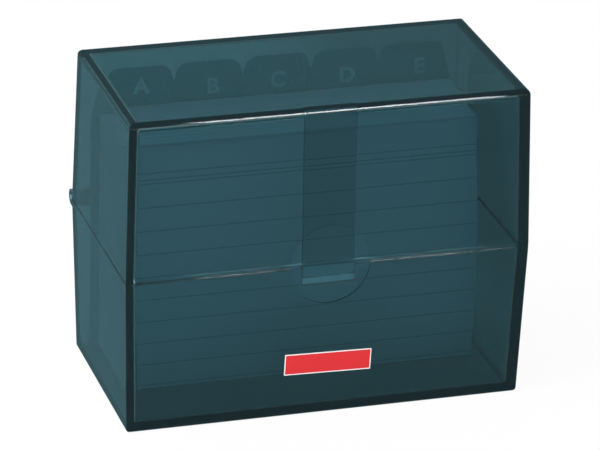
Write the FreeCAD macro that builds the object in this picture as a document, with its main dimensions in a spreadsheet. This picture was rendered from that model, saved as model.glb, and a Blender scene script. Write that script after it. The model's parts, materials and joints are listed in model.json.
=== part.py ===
import FreeCAD, Part
import math
import os

from FreeCAD import Placement, Rotation, Vector

# Hinged index card box: two drafted plastic shells with a pinned back hinge, a front tongue catch,
# a hundred A7 cards and five tabbed dividers. The box is sized around the cards that it holds.
# X runs along the front, Y from front to back, Z up. Sizes are in millimetres.

DRIVING_SIZES = {
    # Cards
    "card_width": 105.0,
    "card_height": 74.0,
    "card_thickness": 0.225,
    "card_gap": 0.01,
    "bundle_gap": 0.04,
    "group_gap": 0.3,
    "pack_shift": 1.0,
    # Bowed card at the front of the pack
    "bow_radius": 190.0,
    "bow_lean": 4.2,
    "bow_toe": 5.8,
    # Dividers
    "divider_thickness": 0.3,
    "divider_gap": 0.05,
    "divider_overhang": 1.3,
    "tab_foot": 24.0,
    "tab_slope": 3.0,
    "tab_height": 11.9,
    "tab_corner": 3.6,
    # Room between the cards and the shells
    "side_room": 4.9,
    "front_room": 28.5,
    "back_room": 3.2,
    "top_room": 4.4,
    "rest_gap": 0.1,
    # Shells
    "base_height": 47.5,
    "seam_gap": 0.1,
    "wall": 2.6,
    "floor_thickness": 2.4,
    "top_thickness": 2.4,
    "side_draft": 1.1,
    "front_draft": 1.7,
    "corner_radius": 0.6,
    "top_radius": 1.7,
    "foot_radius": 1.3,
    "rim_radius": 0.3,
    "inner_radius": 1.0,
    "step_height": 0.95,
    "step_width": 1.3,
    # Thumb dish across the seam
    "dish_radius": 12.0,
    "dish_depth": 0.4,
    # Tongue on the lid and its pocket in the base
    "tongue_width": 15.4,
    "tongue_thickness": 2.1,
    "tongue_reach": 4.0,
    "tongue_clearance": 0.25,
    "pocket_extra_depth": 2.3,
    # Hinge at the two back corners
    "hinge_offset": 1.0,
    "knuckle_radius": 2.35,
    "knuckle_length": 6.0,
    "knuckle_gap": 0.3,
    "notch_clearance": 0.35,
    "pin_radius": 0.8,
    "pin_clearance": 0.05,
    "pin_recess": 0.4,
    # Label on the front of the base
    "label_width": 26.0,
    "label_height": 6.6,
    "label_thickness": 0.12,
    "label_level": 16.45,
    "label_shift": 0.5,
    "label_turn": 1.4,
}

CARDS_PER_BUNDLE = 10
BUNDLES_PER_GROUP = 2
GROUPS = 5
DIVIDER_NAMES = ("divider_a", "divider_b", "divider_c", "divider_d", "divider_e")
SIDES = {"left": -1, "right": 1}
TOLERANCE = 0.01

doc = FreeCAD.newDocument("IndexCardBox")
sheet = doc.addObject("Spreadsheet::Sheet", "Sizes")
rows = iter(range(1, 200))


def write_sizes(sizes):
    for alias, value in sizes.items():
        row = next(rows)
        sheet.set("A%d" % row, alias)
        sheet.set("B%d" % row, str(value))
        sheet.setAlias("B%d" % row, alias)
    doc.recompute()


def size(alias):
    return float(sheet.get(alias))


write_sizes(DRIVING_SIZES)

# Depths of the stacked cards and dividers, front to back.
card_pitch = size("card_thickness") + size("card_gap")
bundle_depth = CARDS_PER_BUNDLE * card_pitch - size("card_gap")
group_depth = BUNDLES_PER_GROUP * (bundle_depth + size("bundle_gap")) - size("bundle_gap")
pack_depth = GROUPS * (group_depth + size("group_gap")) - size("group_gap")
divider_pitch = size("divider_thickness") + size("divider_gap")
dividers_depth = len(DIVIDER_NAMES) * divider_pitch - size("divider_gap")
divider_width = size("card_width") + 2 * size("divider_overhang")

# Sizes that follow from the driving ones. The box is measured at the seam, where it is widest.
card_floor = size("floor_thickness") + size("rest_gap")
contents_height = card_floor + size("card_height") + size("tab_height")
pack_front = size("wall") + size("front_room")
write_sizes({
    "box_width": size("card_width") + 2 * (size("side_room") + size("wall")),
    "box_depth": pack_front + pack_depth + size("group_gap") + dividers_depth
    + size("back_room") + size("wall"),
    "lid_height": contents_height + size("top_room") + size("top_thickness")
    - size("base_height") - size("seam_gap"),
    "divider_width": divider_width,
    "divider_front": pack_front + pack_depth + size("group_gap"),
    "divider_pitch": divider_pitch,
    "tab_pitch": (divider_width - size("tab_foot")) / (len(DIVIDER_NAMES) - 1),
    "tab_top": size("tab_foot") - 2 * size("tab_slope"),
    "bow_degrees": math.degrees(size("card_height") / size("bow_radius")),
})

parts = []


def bind(item, expressions):
    for name, expression in expressions.items():
        item.setExpression(name, expression)


# Levels and planes that several pieces share, as expressions on the sheet.
SEAM = "Sizes.base_height"
LID_RIM = "(Sizes.base_height + Sizes.seam_gap)"
BOX_TOP = "(Sizes.base_height + Sizes.seam_gap + Sizes.lid_height)"
AXIS_LEVEL = "(Sizes.base_height + Sizes.seam_gap / 2)"
AXIS_BACK = "(Sizes.box_depth + Sizes.hinge_offset)"
KNUCKLE_STEP = "(Sizes.knuckle_length + Sizes.knuckle_gap)"
CENTRE_SHIFT = "-(Sizes.box_depth + Sizes.hinge_offset + Sizes.knuckle_radius) / 2"

seam_level = size("base_height")
lid_rim_level = seam_level + size("seam_gap")
box_top_level = lid_rim_level + size("lid_height")
base_draft = math.atan2(size("front_draft"), size("base_height"))
lid_draft = math.atan2(size("front_draft"), size("lid_height"))


def add_part(item, label, back="0"):
    # Every piece is laid out from the front rim, at y = 0, and is then centred front to back.
    item.Label = label
    item.setExpression("Placement.Base.y", "%s + %s" % (back, CENTRE_SHIFT))
    parts.append(item)


def drafted_block(body, feature, name, low, high):
    # A block whose sides slope. low and high are (level, half width, front, back) expressions.
    # The wedge's own Y is the height, so it is turned to stand along Z.
    block = body.newObject(feature, name)
    block.Placement = Placement(Vector(0, 0, 0), Rotation(Vector(1, 0, 0), 90))
    bind(block, {
        "Ymin": low[0], "Xmin": "-" + low[1], "Xmax": low[1],
        "Zmin": "-" + low[3], "Zmax": "-" + low[2],
        "Ymax": high[0], "X2min": "-" + high[1], "X2max": high[1],
        "Z2min": "-" + high[3], "Z2max": "-" + high[2],
    })
    return block


def round_edges(body, name, base, chosen, radius):
    # Rounds the chosen edges of the body's last feature and returns the new last feature.
    doc.recompute()
    edges = ["Edge%d" % (i + 1) for i, edge in enumerate(base.Shape.Edges) if chosen(edge)]
    fillet = body.newObject("PartDesign::Fillet", name)
    fillet.Base = (base, edges)
    fillet.setExpression("Radius", radius)
    doc.recompute()
    return fillet


def rod(body, feature, name, radius, start, length, back, level):
    # A cylinder along X that starts at x = start.
    cylinder = body.newObject(feature, name)
    cylinder.Placement = Placement(Vector(0, 0, 0), Rotation(Vector(0, 1, 0), 90))
    bind(cylinder, {
        "Radius": radius, "Height": length,
        "Placement.Base.x": start, "Placement.Base.y": back, "Placement.Base.z": level,
    })
    return cylinder


def block(body, feature, name, lengths, corner):
    box = body.newObject(feature, name)
    bind(box, dict(zip(("Length", "Width", "Height"), lengths)))
    bind(box, dict(zip(("Placement.Base.x", "Placement.Base.y", "Placement.Base.z"), corner)))
    return box


def knuckle_start(side, index):
    # Left end of a knuckle. Index 0 is the outermost of the three on that side.
    if SIDES[side] < 0:
        return "-Sizes.box_width / 2 + %d * %s" % (index, KNUCKLE_STEP)
    return "Sizes.box_width / 2 - Sizes.knuckle_length - %d * %s" % (index, KNUCKLE_STEP)


def add_knuckles(body, indices, gusset_level):
    # Barrels about the hinge axis, each tied to its own shell's back wall by a square gusset.
    for side in SIDES:
        for index in indices:
            tag = "%s_%d" % (side, index)
            start = knuckle_start(side, index)
            rod(body, "PartDesign::AdditiveCylinder", "knuckle_" + tag, "Sizes.knuckle_radius",
                start, "Sizes.knuckle_length", AXIS_BACK, AXIS_LEVEL)
            block(body, "PartDesign::AdditiveBox", "gusset_" + tag,
                  ("Sizes.knuckle_length", "Sizes.hinge_offset + Sizes.wall / 2", "Sizes.knuckle_radius"),
                  (start, "Sizes.box_depth - Sizes.wall / 2", gusset_level))


def cut_notches(body, indices):
    # Clearance in a back wall for the other shell's barrels.
    for side in SIDES:
        for index in indices:
            rod(body, "PartDesign::SubtractiveCylinder", "notch_%s_%d" % (side, index),
                "Sizes.knuckle_radius + Sizes.notch_clearance",
                "%s - Sizes.knuckle_gap" % knuckle_start(side, index),
                "Sizes.knuckle_length + 2 * Sizes.knuckle_gap", AXIS_BACK, AXIS_LEVEL)


def cut_pin_bores(body):
    for side in SIDES:
        outer = knuckle_start(side, 0 if SIDES[side] < 0 else 2)
        rod(body, "PartDesign::SubtractiveCylinder", "bore_" + side, "Sizes.pin_radius + Sizes.pin_clearance",
            outer, "3 * Sizes.knuckle_length + 2 * Sizes.knuckle_gap", AXIS_BACK, AXIS_LEVEL)


def cut_dish(body, level, draft, upward):
    # A shallow flat-bottomed thumb dish, square to the drafted front face and centred on the rim.
    depth = size("dish_depth")
    dish = body.newObject("PartDesign::SubtractiveCylinder", "dish")
    bind(dish, {"Radius": "Sizes.dish_radius", "Height": "2 * Sizes.dish_depth"})
    dish.Placement = Placement(
        Vector(0, -depth * math.cos(draft), level + upward * depth * math.sin(draft)),
        Rotation(Vector(1, 0, 0), -90 - upward * math.degrees(draft)))


def spans_level(edge, level):
    return all(abs(vertex.Z - level) < TOLERANCE for vertex in edge.Vertexes)


def is_upright(edge):
    return edge.BoundBox.ZLength > edge.Length / 2


def in_cavity(edge):
    box = edge.BoundBox
    inside_x = max(-box.XMin, box.XMax) < size("box_width") / 2 - size("wall") / 2
    inside_y = box.YMin > size("wall") / 2 and box.YMax < size("box_depth") - size("wall") / 2
    return inside_x and inside_y


# Base: open-topped lower shell.

base = doc.addObject("PartDesign::Body", "base_body")
base_outside = drafted_block(
    base, "PartDesign::AdditiveWedge", "base_outside",
    ("0", "(Sizes.box_width / 2 - Sizes.side_draft)", "Sizes.front_draft",
     "(Sizes.box_depth - Sizes.front_draft)"),
    (SEAM, "(Sizes.box_width / 2)", "0", "Sizes.box_depth"))
base_corners = round_edges(base, "base_corners", base_outside, is_upright, "Sizes.corner_radius")
base_foot = round_edges(base, "base_foot", base_corners,
                        lambda edge: spans_level(edge, 0), "Sizes.foot_radius")
round_edges(base, "base_rim", base_foot, lambda edge: spans_level(edge, seam_level), "Sizes.rim_radius")
base_hollow = drafted_block(
    base, "PartDesign::SubtractiveWedge", "base_hollow",
    ("Sizes.floor_thickness", "(Sizes.box_width / 2 - Sizes.side_draft - Sizes.wall)",
     "(Sizes.front_draft + Sizes.wall)", "(Sizes.box_depth - Sizes.front_draft - Sizes.wall)"),
    (SEAM, "(Sizes.box_width / 2 - Sizes.wall)", "Sizes.wall", "(Sizes.box_depth - Sizes.wall)"))
round_edges(base, "base_inner_corners", base_hollow,
            lambda edge: in_cavity(edge) and not spans_level(edge, seam_level), "Sizes.inner_radius")
block(base, "PartDesign::SubtractiveBox", "rim_step",
      ("Sizes.box_width - 2 * (Sizes.wall - Sizes.step_width)",
       "Sizes.box_depth - 2 * (Sizes.wall - Sizes.step_width)", "Sizes.step_height"),
      ("-Sizes.box_width / 2 + Sizes.wall - Sizes.step_width", "Sizes.wall - Sizes.step_width",
       SEAM + " - Sizes.step_height"))
block(base, "PartDesign::SubtractiveBox", "tongue_pocket",
      ("Sizes.tongue_width + 2 * Sizes.tongue_clearance", "Sizes.wall",
       "Sizes.tongue_reach + Sizes.pocket_extra_depth"),
      ("-Sizes.tongue_width / 2 - Sizes.tongue_clearance", "Sizes.wall / 2",
       SEAM + " - Sizes.tongue_reach - Sizes.pocket_extra_depth"))
cut_dish(base, seam_level, base_draft, -1)
cut_notches(base, (1,))
add_knuckles(base, (0, 2), AXIS_LEVEL + " - Sizes.knuckle_radius")
cut_pin_bores(base)
add_part(base, "base_shell")


# Lid: the matching upper shell, with the tongue on the inside of its front wall.

lid = doc.addObject("PartDesign::Body", "lid_body")
lid_outside = drafted_block(
    lid, "PartDesign::AdditiveWedge", "lid_outside",
    (LID_RIM, "(Sizes.box_width / 2)", "0", "Sizes.box_depth"),
    (BOX_TOP, "(Sizes.box_width / 2 - Sizes.side_draft)", "Sizes.front_draft",
     "(Sizes.box_depth - Sizes.front_draft)"))
lid_corners = round_edges(lid, "lid_corners", lid_outside, is_upright, "Sizes.corner_radius")
lid_top = round_edges(lid, "lid_top", lid_corners,
                      lambda edge: spans_level(edge, box_top_level), "Sizes.top_radius")
round_edges(lid, "lid_rim", lid_top, lambda edge: spans_level(edge, lid_rim_level), "Sizes.rim_radius")
lid_hollow = drafted_block(
    lid, "PartDesign::SubtractiveWedge", "lid_hollow",
    (LID_RIM, "(Sizes.box_width / 2 - Sizes.wall)", "Sizes.wall", "(Sizes.box_depth - Sizes.wall)"),
    ("(%s - Sizes.top_thickness)" % BOX_TOP, "(Sizes.box_width / 2 - Sizes.side_draft - Sizes.wall)",
     "(Sizes.front_draft + Sizes.wall)", "(Sizes.box_depth - Sizes.front_draft - Sizes.wall)"))
round_edges(lid, "lid_inner_corners", lid_hollow,
            lambda edge: in_cavity(edge) and not spans_level(edge, lid_rim_level), "Sizes.inner_radius")
drafted_block(
    lid, "PartDesign::AdditiveWedge", "tongue_rib",
    (LID_RIM, "(Sizes.tongue_width / 2)", "(Sizes.wall / 2 + Sizes.tongue_clearance)",
     "(Sizes.wall / 2 + Sizes.tongue_clearance + Sizes.tongue_thickness)"),
    ("(%s - Sizes.top_thickness / 2)" % BOX_TOP, "(Sizes.tongue_width / 2)",
     "(Sizes.front_draft + Sizes.wall / 2 + Sizes.tongue_clearance)",
     "(Sizes.front_draft + Sizes.wall / 2 + Sizes.tongue_clearance + Sizes.tongue_thickness)"))
block(lid, "PartDesign::AdditiveBox", "tongue",
      ("Sizes.tongue_width", "Sizes.tongue_thickness", "Sizes.tongue_reach + Sizes.seam_gap"),
      ("-Sizes.tongue_width / 2", "Sizes.wall / 2 + Sizes.tongue_clearance", SEAM + " - Sizes.tongue_reach"))
cut_dish(lid, lid_rim_level, lid_draft, 1)
cut_notches(lid, (0, 2))
add_knuckles(lid, (1,), AXIS_LEVEL)
cut_pin_bores(lid)
add_part(lid, "lid_shell")


# Steel hinge pins, one through the three knuckles of each corner.

for side in SIDES:
    pin = doc.addObject("Part::Cylinder", "pin_" + side)
    pin.Placement = Placement(Vector(0, 0, 0), Rotation(Vector(0, 1, 0), 90))
    pin_start = knuckle_start(side, 0 if SIDES[side] < 0 else 2)
    bind(pin, {
        "Radius": "Sizes.pin_radius",
        "Height": "3 * Sizes.knuckle_length + 2 * Sizes.knuckle_gap - 2 * Sizes.pin_recess",
        "Placement.Base.x": pin_start + " + Sizes.pin_recess", "Placement.Base.z": AXIS_LEVEL,
    })
    add_part(pin, "hinge_pin_" + side, AXIS_BACK)


# Card pack: bundles of loose cards, counted from the front. Two bundles tilt together as one group.

def card(name, front):
    sheet_of_card = doc.addObject("Part::Box", name)
    bind(sheet_of_card, {
        "Length": "Sizes.card_width", "Width": "Sizes.card_thickness", "Height": "Sizes.card_height",
        "Placement.Base.x": "Sizes.pack_shift - Sizes.card_width / 2",
        "Placement.Base.z": "Sizes.floor_thickness + Sizes.rest_gap",
    })
    sheet_of_card.Placement.Base.y = front
    return sheet_of_card


for bundle in range(GROUPS * BUNDLES_PER_GROUP):
    group = bundle // BUNDLES_PER_GROUP
    place_in_group = bundle % BUNDLES_PER_GROUP
    bundle_front = (pack_front + group * (group_depth + size("group_gap"))
                    + place_in_group * (bundle_depth + size("bundle_gap")))
    # The bowed card is the first card of the front bundle.
    first = 1 if bundle == 0 else 0
    cards = [card("card_%d_%d" % (bundle + 1, n + 1), bundle_front + n * card_pitch)
             for n in range(first, CARDS_PER_BUNDLE)]
    bundle_of_cards = doc.addObject("Part::Compound", "bundle_%d" % (bundle + 1))
    bundle_of_cards.Links = cards
    add_part(bundle_of_cards, "card_bundle_%02d" % (bundle + 1))


# The ruled card at the front has bowed: a strip of a cylinder whose middle bulges forward.
# Angles are measured at the cylinder's axis, up from level, towards the front.

bow_start = math.radians(size("bow_lean") - size("bow_degrees") / 2)
toward_start = Vector(0, -math.cos(bow_start), math.sin(bow_start))
along_card = Vector(0, math.sin(bow_start), math.cos(bow_start))
bow_place = Placement(
    Vector(size("card_width") / 2, pack_front - size("bow_toe"), card_floor)
    - toward_start * size("bow_radius"),
    Rotation(toward_start, along_card, Vector(-1, 0, 0), "ZXY"))
bow_outside = doc.addObject("Part::Cylinder", "bow_outside")
bow_outside.Placement = bow_place
bind(bow_outside, {"Radius": "Sizes.bow_radius", "Height": "Sizes.card_width",
                   "Angle": "Sizes.bow_degrees"})
bow_inside = doc.addObject("Part::Cylinder", "bow_inside")
bow_inside.Placement = bow_place
bind(bow_inside, {"Radius": "Sizes.bow_radius - Sizes.card_thickness", "Height": "Sizes.card_width"})
bowed_card = doc.addObject("Part::Cut", "bowed_card")
bowed_card.Base = bow_outside
bowed_card.Tool = bow_inside
add_part(bowed_card, "front_card")


# Dividers behind the cards, front to back, with their tabs stepping from left to right.

SHOULDER = "(Sizes.floor_thickness + Sizes.rest_gap + Sizes.card_height)"


def divider(index, label):
    body = doc.addObject("PartDesign::Body", label + "_body")
    block(body, "PartDesign::AdditiveBox", label + "_sheet",
          ("Sizes.divider_width", "Sizes.divider_thickness", "Sizes.card_height"),
          ("-Sizes.divider_width / 2", "0", "Sizes.floor_thickness + Sizes.rest_gap"))
    tab = drafted_block(
        body, "PartDesign::AdditiveWedge", label + "_tab",
        (SHOULDER, "(Sizes.tab_foot / 2)", "0", "Sizes.divider_thickness"),
        ("(%s + Sizes.tab_height)" % SHOULDER, "(Sizes.tab_top / 2)", "0", "Sizes.divider_thickness"))
    tab.setExpression("Placement.Base.x", "%d * Sizes.tab_pitch" % (index - len(DIVIDER_NAMES) // 2))
    round_edges(body, label + "_corners", tab,
                lambda edge: spans_level(edge, contents_height) and edge.BoundBox.XLength < TOLERANCE,
                "Sizes.tab_corner")
    add_part(body, label, "Sizes.divider_front + %d * Sizes.divider_pitch" % index)


for index, name in enumerate(DIVIDER_NAMES):
    divider(index, name)


# Label: a thin plate stuck flat on the drafted front of the base, a little out of level.

label_back = (seam_level - size("label_level")) * math.tan(base_draft)
label_turn = Rotation(Vector(1, 0, 0), math.degrees(base_draft)).multiply(
    Rotation(Vector(0, 1, 0), size("label_turn")))
label_corner = Vector(-size("label_width") / 2, -size("label_thickness"), -size("label_height") / 2)
label = doc.addObject("PartDesign::Body", "label_body")
label_plate = label.newObject("PartDesign::AdditiveBox", "label_plate")
bind(label_plate, {"Length": "Sizes.label_width", "Width": "Sizes.label_thickness",
                   "Height": "Sizes.label_height"})
label_middle = Vector(size("label_shift"), label_back, size("label_level"))
label_plate.Placement = Placement(label_middle + label_turn.multVec(label_corner), label_turn)
add_part(label, "front_label")


doc.recompute()
for item in doc.Objects:
    if "Invalid" in item.State or "Error" in item.State:
        raise RuntimeError("%s did not compute: %s" % (item.Name, item.State))
for item in parts:
    if item.Shape.isNull() or not item.Shape.isValid():
        raise RuntimeError("%s has no valid shape" % item.Label)

os.makedirs("parts", exist_ok=True)
for item in parts:
    item.Shape.exportStep("parts/%s.step" % item.Label)
    print("%-18s solids %3d  volume %9.1f" % (item.Label, len(item.Shape.Solids), item.Shape.Volume))
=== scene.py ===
import json
import math
import random

import bmesh
import bpy
from mathutils import Matrix, Vector

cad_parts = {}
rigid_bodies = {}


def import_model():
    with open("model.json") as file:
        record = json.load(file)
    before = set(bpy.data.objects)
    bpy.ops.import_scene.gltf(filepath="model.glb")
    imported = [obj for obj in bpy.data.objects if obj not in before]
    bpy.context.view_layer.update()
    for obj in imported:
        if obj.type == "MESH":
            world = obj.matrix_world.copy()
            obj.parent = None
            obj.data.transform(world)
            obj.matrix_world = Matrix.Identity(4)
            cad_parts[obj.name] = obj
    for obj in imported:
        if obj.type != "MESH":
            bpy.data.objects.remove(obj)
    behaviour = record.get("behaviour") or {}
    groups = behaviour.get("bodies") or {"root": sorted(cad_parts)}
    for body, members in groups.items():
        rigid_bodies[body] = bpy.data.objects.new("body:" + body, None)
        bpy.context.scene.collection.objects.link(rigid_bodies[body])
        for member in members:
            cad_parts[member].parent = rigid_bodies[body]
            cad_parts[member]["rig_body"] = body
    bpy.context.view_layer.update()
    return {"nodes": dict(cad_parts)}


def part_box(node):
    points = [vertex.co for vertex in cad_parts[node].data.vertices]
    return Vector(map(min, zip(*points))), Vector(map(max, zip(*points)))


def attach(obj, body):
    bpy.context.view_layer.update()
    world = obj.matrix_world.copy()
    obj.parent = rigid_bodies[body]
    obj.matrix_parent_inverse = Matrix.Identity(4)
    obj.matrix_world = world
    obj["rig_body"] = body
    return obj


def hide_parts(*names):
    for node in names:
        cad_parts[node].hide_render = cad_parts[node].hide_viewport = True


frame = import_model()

mm = 0.001
plainWhite = (1.0, 1.0, 1.0, 1.0)
facing = 0.5      # a face whose normal leans further than this towards an axis faces along it
nodes = frame["nodes"]


# Node helpers

noiseSpan = (0.3, 0.7)      # noise values that take the roughness from one end of its range to the other


def newMaterial(name):
    material = bpy.data.materials.new(name)
    material.use_nodes = True
    return material, material.node_tree.nodes, material.node_tree.links


def giveMaterial(obj, material):
    # every slot of a piece gets the same finish
    if not obj.data.materials:
        obj.data.materials.append(material)
    for index in range(len(obj.data.materials)):
        obj.data.materials[index] = material


def shaderOf(nodeList):
    return next(node for node in nodeList if node.type == "BSDF_PRINCIPLED")


def mathNode(nodeList, links, operation, first, second=None):
    node = nodeList.new("ShaderNodeMath")
    node.operation = operation
    for socket, value in zip(node.inputs, (first, second)):
        if isinstance(value, (int, float)):
            socket.default_value = value
        elif value is not None:
            links.new(value, socket)
    return node.outputs[0]


def colourMix(nodeList, links, factor, first, second):
    node = nodeList.new("ShaderNodeMix")
    node.data_type = "RGBA"
    for name, value in (("Factor", factor), ("A", first), ("B", second)):
        socket = next(entry for entry in node.inputs if entry.enabled and entry.name == name)
        if isinstance(value, tuple):
            socket.default_value = value
        else:
            links.new(value, socket)
    return next(entry for entry in node.outputs if entry.enabled)


def shaderMix(nodeList, links, factor, first, second):
    node = nodeList.new("ShaderNodeMixShader")
    for socket, value in zip(node.inputs, (factor, first, second)):
        links.new(value, socket)
    return node.outputs[0]


def near(nodeList, links, value, middle, reach):
    # 1 where the value lies within reach of the middle, else 0
    inside = mathNode(nodeList, links, "COMPARE", value, middle)
    inside.node.inputs[2].default_value = reach
    return inside


def surfaceGrain(nodeList, links, shader, grain):
    # one noise varies the gloss and raises the surface a little
    place = nodeList.new("ShaderNodeTexCoord")
    noise = nodeList.new("ShaderNodeTexNoise")
    noise.inputs["Scale"].default_value = grain["scale"]
    noise.inputs["Detail"].default_value = grain["detail"]
    links.new(place.outputs["Object"], noise.inputs["Vector"])
    gloss = nodeList.new("ShaderNodeMapRange")
    gloss.inputs["From Min"].default_value, gloss.inputs["From Max"].default_value = noiseSpan
    gloss.inputs["To Min"].default_value, gloss.inputs["To Max"].default_value = grain["roughness"]
    links.new(noise.outputs["Fac"], gloss.inputs["Value"])
    links.new(gloss.outputs[0], shader.inputs["Roughness"])
    relief = nodeList.new("ShaderNodeBump")
    relief.inputs["Distance"].default_value = grain["depth"]
    links.new(noise.outputs["Fac"], relief.inputs["Height"])
    links.new(relief.outputs[0], shader.inputs["Normal"])
    return noise


# Camera

view = {
    "azimuth": 17.325,      # degrees left of the front
    "elevation": 23.495,
    "roll": 1.592,
    "distance": 1184.8 * mm,
    "aimRight": -7.388 * mm,
    "aimUp": 54.884 * mm,
    "lens": 245.95,
    "clipStart": 0.05,
    "clipEnd": 20.0,
}


def makeCamera():
    azimuth, elevation, roll = (math.radians(view[key]) for key in ("azimuth", "elevation", "roll"))
    forward = Vector((math.cos(elevation) * math.sin(azimuth),
                      math.cos(elevation) * math.cos(azimuth), -math.sin(elevation)))
    level = Vector((math.cos(azimuth), -math.sin(azimuth), 0))
    upright = level.cross(forward)
    right = level * math.cos(roll) + upright * math.sin(roll)
    up = upright * math.cos(roll) - level * math.sin(roll)
    frontFoot = Vector((0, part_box("lid_shell")[0].y, 0))
    data = bpy.data.cameras.new("camera")
    data.lens = view["lens"]
    data.clip_start = view["clipStart"]
    data.clip_end = view["clipEnd"]
    camera = bpy.data.objects.new("camera", data)
    bpy.context.scene.collection.objects.link(camera)
    turn = Matrix((right, up, -forward)).transposed().to_4x4()
    place = frontFoot - forward * view["distance"] + right * view["aimRight"] + up * view["aimUp"]
    camera.matrix_world = Matrix.Translation(place) @ turn
    bpy.context.scene.camera = camera


makeCamera()
print("camera placed")


# Studio

# The studio isn't the same for every ray. The camera sees a white floor, mirror reflections meet a dark
# teal room, and what is seen or lit through the plastic has levels of its own, the floor there with a
# painted shadow of the box to the right. Under plain, even light the box renders paler than it does here.
studio = {
    "floorSize": 6.0,
    "floorLevel": -0.1 * mm,      # clear of the box's underside
    "floorColour": (0.86, 0.86, 0.86, 1),
    "cameraLift": 0.95,      # share of plain white in the floor that the camera sees
    "throughLift": 0.2,      # the same, where it is seen through the plastic
    "paintedShadeFrom": 0.055,      # how far right the painted shadow of the box starts on the floor behind the plastic
    "paintedShadeTo": 0.09,
    "paintedShadeShare": 0.7,      # share of the painted shade tone in the floor beyond that
    # painted shade: this grey stands in for the box's shadow on the floor behind the plastic
    "paintedShadeTone": (0.3, 0.3, 0.3, 1),
    "skyLevel": 0.85,
    "skyLean": (-2.6, 0.25, 1.55),      # the room is brighter on the left and above
    "skyLeast": 0.3,
    "openShare": 0.45,      # share of the room's level for a surface that no plastic covers
    "mirroredRoom": (0.10, 0.22, 0.26, 1),
    "brightFrom": 0.42,      # beyond this in front, the floor is bright in reflections
    "mirroredFloor": (0.9, 0.9, 0.9, 1),
    "lampAim": (0, 0, 0.05),
}
lamps = {
    "keyLight": {"place": (-0.9, -0.2, 0.75), "size": (0.6, 0.6), "power": 9.0, "mirrored": False},
    "frontLight": {"place": (0.3, -1.0, 0.27), "size": (0.16, 0.4), "power": 3.2, "mirrored": True},
}


def mirroredRays(nodeList, links, rays):
    # a refracted ray counts as glossy too, so it is taken off
    mirrored = mathNode(nodeList, links, "SUBTRACT", rays["Is Glossy Ray"], rays["Is Transmission Ray"])
    mirrored.node.use_clamp = True
    return mirrored


def makeWorld():
    world = bpy.data.worlds.new("studio")
    bpy.context.scene.world = world
    world.use_nodes = True
    nodeList, links = world.node_tree.nodes, world.node_tree.links
    background = next(node for node in nodeList if node.type == "BACKGROUND")
    rays = nodeList.new("ShaderNodeLightPath").outputs
    place = nodeList.new("ShaderNodeTexCoord")
    lean = nodeList.new("ShaderNodeVectorMath")
    lean.operation = "DOT_PRODUCT"
    lean.inputs[1].default_value = studio["skyLean"]
    links.new(place.outputs["Generated"], lean.inputs[0])
    room = mathNode(nodeList, links, "ADD", lean.outputs["Value"], studio["skyLevel"])
    room = mathNode(nodeList, links, "MAXIMUM", room, studio["skyLeast"])
    uncovered = mathNode(nodeList, links, "MULTIPLY", room, studio["openShare"])
    level = nodeList.new("ShaderNodeMix")
    links.new(rays["Is Transmission Ray"], level.inputs["Factor"])
    links.new(uncovered, level.inputs["A"])
    links.new(room, level.inputs["B"])
    mirrored = mirroredRays(nodeList, links, rays)
    sky = colourMix(nodeList, links, mirrored, level.outputs[0], studio["mirroredRoom"])
    seen = colourMix(nodeList, links, rays["Is Camera Ray"], sky, plainWhite)
    links.new(seen, background.inputs["Color"])


def floorSheet():
    mesh = bpy.data.meshes.new("floor")
    shape = bmesh.new()
    bmesh.ops.create_grid(shape, x_segments=1, y_segments=1, size=studio["floorSize"])
    bmesh.ops.translate(shape, verts=shape.verts, vec=(0, 0, studio["floorLevel"]))
    shape.to_mesh(mesh)
    shape.free()
    floor = bpy.data.objects.new("floor", mesh)
    bpy.context.scene.collection.objects.link(floor)
    return floor


def liftedPaperWithPaintedShade(nodeList, links, rays, split, paper):
    # plain light is mixed into the paper, how much depending on the ray, and painted shade to the right
    # behind the plastic
    paintedShade = nodeList.new("ShaderNodeMapRange")
    paintedShade.inputs["From Min"].default_value = studio["paintedShadeFrom"]
    paintedShade.inputs["From Max"].default_value = studio["paintedShadeTo"]
    links.new(split.outputs["X"], paintedShade.inputs["Value"])
    share = nodeList.new("ShaderNodeMix")
    share.inputs["A"].default_value = studio["throughLift"]
    share.inputs["B"].default_value = studio["paintedShadeShare"]
    links.new(paintedShade.outputs[0], share.inputs["Factor"])
    tone = colourMix(nodeList, links, paintedShade.outputs[0], plainWhite, studio["paintedShadeTone"])
    tone = colourMix(nodeList, links, rays["Is Camera Ray"], tone, plainWhite)
    glow = nodeList.new("ShaderNodeEmission")
    links.new(tone, glow.inputs["Color"])
    seen = mathNode(nodeList, links, "MULTIPLY", rays["Is Camera Ray"], studio["cameraLift"])
    through = mathNode(nodeList, links, "MULTIPLY", rays["Is Transmission Ray"], share.outputs[0])
    lift = mathNode(nodeList, links, "MAXIMUM", seen, through)
    return shaderMix(nodeList, links, lift, paper, glow.outputs[0])


def mirroredPaper(nodeList, links, rays, split, paper):
    far = mathNode(nodeList, links, "LESS_THAN", split.outputs["Y"], -studio["brightFrom"])
    glow = nodeList.new("ShaderNodeEmission")
    links.new(colourMix(nodeList, links, far, studio["mirroredRoom"], studio["mirroredFloor"]),
              glow.inputs["Color"])
    return shaderMix(nodeList, links, mirroredRays(nodeList, links, rays), paper, glow.outputs[0])


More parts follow.
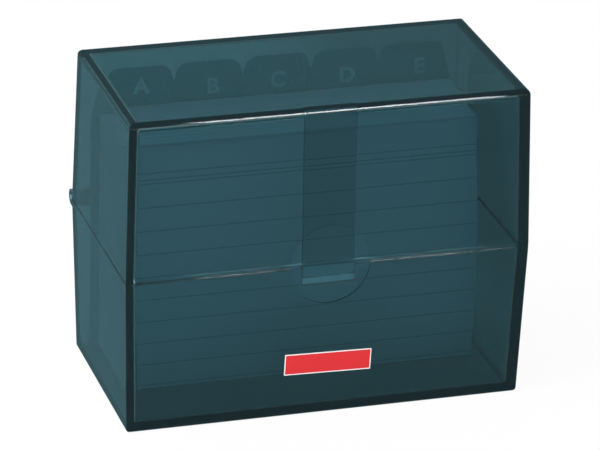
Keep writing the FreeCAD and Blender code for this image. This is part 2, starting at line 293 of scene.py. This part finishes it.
def makeFloor():
    floor = floorSheet()
    material, nodeList, links = newMaterial("floorPaper")
    shader = shaderOf(nodeList)
    shader.inputs["Base Color"].default_value = studio["floorColour"]
    shader.inputs["Roughness"].default_value = 1.0
    shader.inputs["Specular IOR Level"].default_value = 0.0
    rays = nodeList.new("ShaderNodeLightPath").outputs
    split = nodeList.new("ShaderNodeSeparateXYZ")
    links.new(nodeList.new("ShaderNodeTexCoord").outputs["Object"], split.inputs[0])
    paper = liftedPaperWithPaintedShade(nodeList, links, rays, split, shader.outputs[0])
    paper = mirroredPaper(nodeList, links, rays, split, paper)
    output = next(node for node in nodeList if node.type == "OUTPUT_MATERIAL")
    links.new(paper, output.inputs["Surface"])
    giveMaterial(floor, material)


def areaLight(name, lamp):
    data = bpy.data.lights.new(name, "AREA")
    data.shape = "RECTANGLE"
    data.size, data.size_y = lamp["size"]
    data.energy = lamp["power"]
    light = bpy.data.objects.new(name, data)
    bpy.context.scene.collection.objects.link(light)
    light.visible_glossy = lamp["mirrored"]
    light.location = lamp["place"]
    light.rotation_mode = "QUATERNION"
    toObject = Vector(studio["lampAim"]) - Vector(lamp["place"])
    light.rotation_quaternion = toObject.to_track_quat("-Z", "Y")


makeWorld()
makeFloor()
for name, lamp in lamps.items():
    areaLight(name, lamp)
print("studio lit")


# Tinted plastic of the two shells

plastic = {
    "tint": (0.39, 0.765, 0.86, 1),      # given to the light at the surfaces
    "clear": 0.985,      # the rest is a matt haze
    "grain": {"scale": 70.0, "detail": 4.0, "roughness": (0.008, 0.03), "depth": 0.01 * mm},
    "ior": 1.55,
    "absorptionColour": (0.5, 0.5, 0.49, 1),
    "density": 700.0,      # per metre
}


def tintedPlastic():
    material, nodeList, links = newMaterial("tintedPlastic")
    shader = shaderOf(nodeList)
    output = next(node for node in nodeList if node.type == "OUTPUT_MATERIAL")
    shader.inputs["Base Color"].default_value = plastic["tint"]
    surfaceGrain(nodeList, links, shader, plastic["grain"])
    shader.inputs["IOR"].default_value = plastic["ior"]
    shader.inputs["Transmission Weight"].default_value = plastic["clear"]
    body = nodeList.new("ShaderNodeVolumeAbsorption")
    body.inputs["Color"].default_value = plastic["absorptionColour"]
    body.inputs["Density"].default_value = plastic["density"]
    links.new(body.outputs[0], output.inputs["Volume"])
    return material


shellPlastic = tintedPlastic()
giveMaterial(nodes["base_shell"], shellPlastic)
giveMaterial(nodes["lid_shell"], shellPlastic)
print("shells finished")


# Mesh helpers

def addPiece(name, shape, materials, body):
    mesh = bpy.data.meshes.new(name)
    shape.to_mesh(mesh)
    shape.free()
    piece = bpy.data.objects.new(name, mesh)
    bpy.context.scene.collection.objects.link(piece)
    for material in materials:
        mesh.materials.append(material)
    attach(piece, body)
    return piece


def ruleSheet(shape, faces, depthOf):
    # the ruling reads how far below the card's top edge a point is, and the cut edges stay bare
    layer = shape.loops.layers.uv.verify()
    for face in faces:
        face.normal_update()
        printed = abs(face.normal.y) > facing
        for loop in face.loops:
            loop[layer].uv = (loop.vert.co.x, depthOf(loop.vert.co) if printed else 0)


# Card stock with feint ruling

stock = {
    "paper": (0.82, 0.79, 0.87, 1),
    "ink": (0.48, 0.49, 0.54, 1),
    "headLines": (7.4 * mm, 9.3 * mm),
    "firstLine": 10.45 * mm,
    "lineStep": 6.93 * mm,
    "lineWidth": 0.26 * mm,
    "fibres": {"scale": 900.0, "detail": 2.0, "roughness": (0.55, 0.72), "depth": 0.008 * mm},
    "fibreShade": 0.03,
}


def cardStock(name):
    material, nodeList, links = newMaterial(name)
    shader = shaderOf(nodeList)
    fibres = surfaceGrain(nodeList, links, shader, stock["fibres"])
    shaded = tuple(part * (1 - stock["fibreShade"]) for part in stock["paper"][:3]) + (1,)
    paper = colourMix(nodeList, links, fibres.outputs["Fac"], shaded, stock["paper"])
    split = nodeList.new("ShaderNodeSeparateXYZ")
    links.new(nodeList.new("ShaderNodeTexCoord").outputs["UV"], split.inputs[0])
    depth = split.outputs["Y"]
    step = stock["lineStep"]
    shifted = mathNode(nodeList, links, "SUBTRACT", depth, stock["firstLine"] - step / 2)
    wrapped = mathNode(nodeList, links, "MODULO", shifted, step)
    onLine = near(nodeList, links, wrapped, step / 2, stock["lineWidth"] / 2)
    below = mathNode(nodeList, links, "GREATER_THAN", depth, stock["firstLine"] - step / 4)
    inked = mathNode(nodeList, links, "MULTIPLY", onLine, below)
    for headLine in stock["headLines"]:
        onHeadLine = near(nodeList, links, depth, headLine, stock["lineWidth"] / 2)
        inked = mathNode(nodeList, links, "MAXIMUM", inked, onHeadLine)
    links.new(colourMix(nodeList, links, inked, paper, stock["ink"]), shader.inputs["Base Color"])
    return material


ruledStock = cardStock("ruledCardStock")


# Card pack: each bundle is made of loose cards that are never quite level with each other

deck = {
    "cardsPerBundle": 10,
    "gap": 0.01 * mm,
    "cornerRadius": 0.7 * mm,
    "cornerSteps": 2,
    "sideSlip": 0.18 * mm,
    "leastLift": 0.02 * mm,
    "lift": 0.12 * mm,
    "skew": 0.05,      # degrees
    "seed": 17,
}
slips = random.Random(deck["seed"])


def addCard(shape, low, high, front, thickness):
    # one flat card as wide and high as the bundle, with slightly rounded corners
    made = bmesh.ops.create_cube(shape, size=1.0)["verts"]
    bmesh.ops.scale(shape, vec=(high.x - low.x, thickness, high.z - low.z), verts=made)
    corners = [edge for edge in {edge for vert in made for edge in vert.link_edges}
               if abs(edge.verts[0].co.y - edge.verts[1].co.y) > thickness / 2]
    cut = bmesh.ops.bevel(shape, geom=corners, offset=deck["cornerRadius"], segments=deck["cornerSteps"],
                          profile=0.5, affect="EDGES", material=-1)
    verts = list({vert for face in cut["faces"] for vert in face.verts} | {v for v in made if v.is_valid})
    faces = list({face for vert in verts for face in vert.link_faces})
    half = (high.z - low.z) / 2
    ruleSheet(shape, faces, lambda co: half - co.z)
    skew = math.radians(slips.uniform(-deck["skew"], deck["skew"]))
    bmesh.ops.rotate(shape, verts=verts, cent=(0, 0, 0), matrix=Matrix.Rotation(skew, 3, "Y"))
    slip = slips.uniform(-deck["sideSlip"], deck["sideSlip"])
    # a skewed card stands on its lower corner
    lift = slips.uniform(deck["leastLift"], deck["lift"]) + abs(math.sin(skew)) * (high.x - low.x) / 2
    middle = ((low.x + high.x) / 2 + slip, front + thickness / 2, (low.z + high.z) / 2 + lift)
    bmesh.ops.translate(shape, verts=verts, vec=middle)


def cardBundle(name, body):
    low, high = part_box(name)
    # the first bundle has one card fewer, since the bowed card is in front of it
    count = deck["cardsPerBundle"] - (1 if name.endswith("01") else 0)
    pitch = (high.y - low.y + deck["gap"]) / count
    shape = bmesh.new()
    for number in range(count):
        addCard(shape, low, high, low.y + number * pitch, pitch - deck["gap"])
    bundle = addPiece(name.replace("card_bundle", "cards"), shape, [ruledStock], body)
    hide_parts(name)


for name in sorted(nodes):
    if name.startswith("card_bundle"):
        cardBundle(name, nodes[name]["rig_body"])
print("card pack stacked")


# Bowed card at the front of the pack

bow = {
    "radius": 190.0 * mm,
    "lean": 4.2,       # degrees
    "length": 74.0 * mm,
    "thickness": 0.225 * mm,
    "steps": 36,
}


def bowedCard():
    low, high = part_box("front_card")
    reach = bow["length"] / bow["radius"]
    start = math.radians(bow["lean"]) - reach / 2
    middle = Vector((0, low.y + bow["radius"], low.z - bow["radius"] * math.sin(start)))
    shape = bmesh.new()
    foot = [shape.verts.new((x, middle.y - bow["radius"] * math.cos(start), low.z)) for x in (low.x, high.x)]
    shape.edges.new(foot)
    bmesh.ops.spin(shape, geom=foot + shape.edges[:], cent=middle, axis=(-1, 0, 0), angle=reach,
                   steps=bow["steps"], use_merge=False, use_normal_flip=False)
    for face in shape.faces:
        if face.normal.y > 0:
            face.normal_flip()

    def depthOf(co):
        climbed = math.atan2(co.z - middle.z, middle.y - co.y) - start
        return bow["length"] - bow["radius"] * climbed

    ruleSheet(shape, shape.faces, depthOf)
    piece = addPiece("ruled_card", shape, [ruledStock], nodes["front_card"]["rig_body"])
    board = piece.modifiers.new("board", "SOLIDIFY")
    board.thickness = bow["thickness"]
    board.offset = -1
    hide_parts("front_card")


bowedCard()
print("front card bowed")


# Dividers of see-through film, with a letter on each tab

film = {
    "colour": (0.07, 0.55, 0.62, 1),
    "clear": 0.45,
    "grain": {"scale": 4000.0, "detail": 2.0, "roughness": (0.23, 0.29), "depth": 0.0006 * mm},
    "ior": 1.49,
    "ink": (0.85, 0.95, 0.92, 1),
    "inkGrain": {"scale": 2600.0, "detail": 2.0, "roughness": (0.38, 0.52), "depth": 0.003 * mm},
    "letterSize": 6.6 * mm,
    "letterWeight": 0.21 * mm,
    "letterDepth": 0.02 * mm,
    "weld": 0.001 * mm,      # corners closer than this become one
    # how far right of its tab's middle, and how far below its tab's top, each letter's middle is
    "letters": {"A": (0.6 * mm, 5.8 * mm), "B": (1.6 * mm, 7.8 * mm), "C": (0.5 * mm, 7.7 * mm),
                "D": (0.9 * mm, 8.3 * mm), "E": (2.6 * mm, 7.4 * mm)},
    "tabWidth": 24.0 * mm,
}


def dividerFilm():
    material, nodeList, links = newMaterial("dividerFilm")
    shader = shaderOf(nodeList)
    shader.inputs["Base Color"].default_value = film["colour"]
    surfaceGrain(nodeList, links, shader, film["grain"])
    shader.inputs["IOR"].default_value = film["ior"]
    shader.inputs["Transmission Weight"].default_value = film["clear"]
    return material


def letterInk():
    material, nodeList, links = newMaterial("tabInk")
    shader = shaderOf(nodeList)
    shader.inputs["Base Color"].default_value = film["ink"]
    surfaceGrain(nodeList, links, shader, film["inkGrain"])
    return material


def tabLetter(letter, index, count):
    low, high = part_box("divider_" + letter.lower())
    right, below = film["letters"][letter]
    text = bpy.data.curves.new("letter", "FONT")
    text.body = letter
    text.size = film["letterSize"]
    text.offset = film["letterWeight"]
    text.extrude = film["letterDepth"]
    text.align_x = "CENTER"
    text.align_y = "CENTER"
    flat = bpy.data.objects.new("letter", text)
    bpy.context.scene.collection.objects.link(flat)
    mesh = bpy.data.meshes.new_from_object(flat.evaluated_get(bpy.context.evaluated_depsgraph_get()))
    bpy.data.objects.remove(flat)
    shape = bmesh.new()
    shape.from_mesh(mesh)
    bpy.data.meshes.remove(mesh)
    bmesh.ops.remove_doubles(shape, verts=shape.verts, dist=film["weld"])
    bottom = min(vert.co.y for vert in shape.verts)
    top = max(vert.co.y for vert in shape.verts)
    left = min(vert.co.x for vert in shape.verts)
    far = max(vert.co.x for vert in shape.verts)
    bmesh.ops.translate(shape, verts=shape.verts, vec=(-(left + far) / 2, -(bottom + top) / 2, 0))
    bmesh.ops.rotate(shape, verts=shape.verts, cent=(0, 0, 0), matrix=Matrix.Rotation(math.pi / 2, 3, "X"))
    step = (high.x - low.x - film["tabWidth"]) / (count - 1)
    middle = low.x + film["tabWidth"] / 2 + index * step
    bmesh.ops.translate(shape, verts=shape.verts,
                        vec=(middle + right, low.y - film["letterDepth"], high.z - below))
    addPiece("letter_" + letter.lower(), shape, [inkedWhite], "dividers")


clearFilm = dividerFilm()
inkedWhite = letterInk()
for index, letter in enumerate(film["letters"]):
    giveMaterial(nodes["divider_" + letter.lower()], clearFilm)
    tabLetter(letter, index, len(film["letters"]))
print("dividers lettered")


# Label: a bare red field in a white border

label = {
    "width": 26.0 * mm,
    "height": 6.6 * mm,
    "thickness": 0.12 * mm,
    "border": 0.42 * mm,
    "lean": 2.05,      # degrees
    "turn": 1.4,
    "red": (0.70, 0.016, 0.022, 1),
    "white": (0.86, 0.86, 0.86, 1),
    "grain": {"scale": 1400.0, "detail": 3.0, "roughness": (0.28, 0.42), "depth": 0.003 * mm},
    "mottle": 0.06,
}


def plainFilm(name, colour):
    material, nodeList, links = newMaterial(name)
    shader = shaderOf(nodeList)
    ink = surfaceGrain(nodeList, links, shader, label["grain"])
    thin = tuple(part * (1 - label["mottle"]) for part in colour[:3]) + (1,)
    links.new(colourMix(nodeList, links, ink.outputs["Fac"], thin, colour), shader.inputs["Base Color"])
    return material


def frontLabel():
    low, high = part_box("front_label")
    shape = bmesh.new()
    bmesh.ops.create_cube(shape, size=1.0)
    bmesh.ops.scale(shape, vec=(label["width"], label["thickness"], label["height"]), verts=shape.verts)
    front = [face for face in shape.faces if face.normal.y < -facing]
    bmesh.ops.inset_region(shape, faces=front, thickness=label["border"])
    front[0].material_index = 1
    turn = Matrix.Rotation(math.radians(label["lean"]), 3, "X") @ Matrix.Rotation(
        math.radians(label["turn"]), 3, "Y")
    bmesh.ops.rotate(shape, verts=shape.verts, cent=(0, 0, 0), matrix=turn)
    bmesh.ops.translate(shape, verts=shape.verts, vec=(low + high) / 2)
    materials = [plainFilm("labelWhite", label["white"]), plainFilm("labelRed", label["red"])]
    piece = addPiece("label_plate", shape, materials, "base")
    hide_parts("front_label")


frontLabel()
print("label stuck on")


# Hinge pins of drawn steel wire

pin = {
    "colour": (0.56, 0.57, 0.58, 1),
    "roughness": 0.28,
    "drawScale": 2500.0,
    "drawStretch": (0.02, 1, 1),      # the marks run along the wire
    "drawRoughness": 0.12,      # the most that they add to the roughness
}


def drawnSteel():
    material, nodeList, links = newMaterial("drawnSteel")
    shader = shaderOf(nodeList)
    shader.inputs["Base Color"].default_value = pin["colour"]
    shader.inputs["Metallic"].default_value = 1.0
    place = nodeList.new("ShaderNodeTexCoord")
    along = nodeList.new("ShaderNodeMapping")
    along.inputs["Scale"].default_value = pin["drawStretch"]
    lines = nodeList.new("ShaderNodeTexNoise")
    lines.inputs["Scale"].default_value = pin["drawScale"]
    spread = nodeList.new("ShaderNodeMapRange")
    spread.inputs["To Min"].default_value = pin["roughness"]
    spread.inputs["To Max"].default_value = pin["roughness"] + pin["drawRoughness"]
    links.new(place.outputs["Object"], along.inputs["Vector"])
    links.new(along.outputs[0], lines.inputs["Vector"])
    links.new(lines.outputs["Fac"], spread.inputs["Value"])
    links.new(spread.outputs[0], shader.inputs["Roughness"])
    return material


steel = drawnSteel()
for side in ("left", "right"):
    giveMaterial(nodes["hinge_pin_" + side], steel)
print("pins finished")

bpy.context.scene.view_settings.view_transform = "Standard"
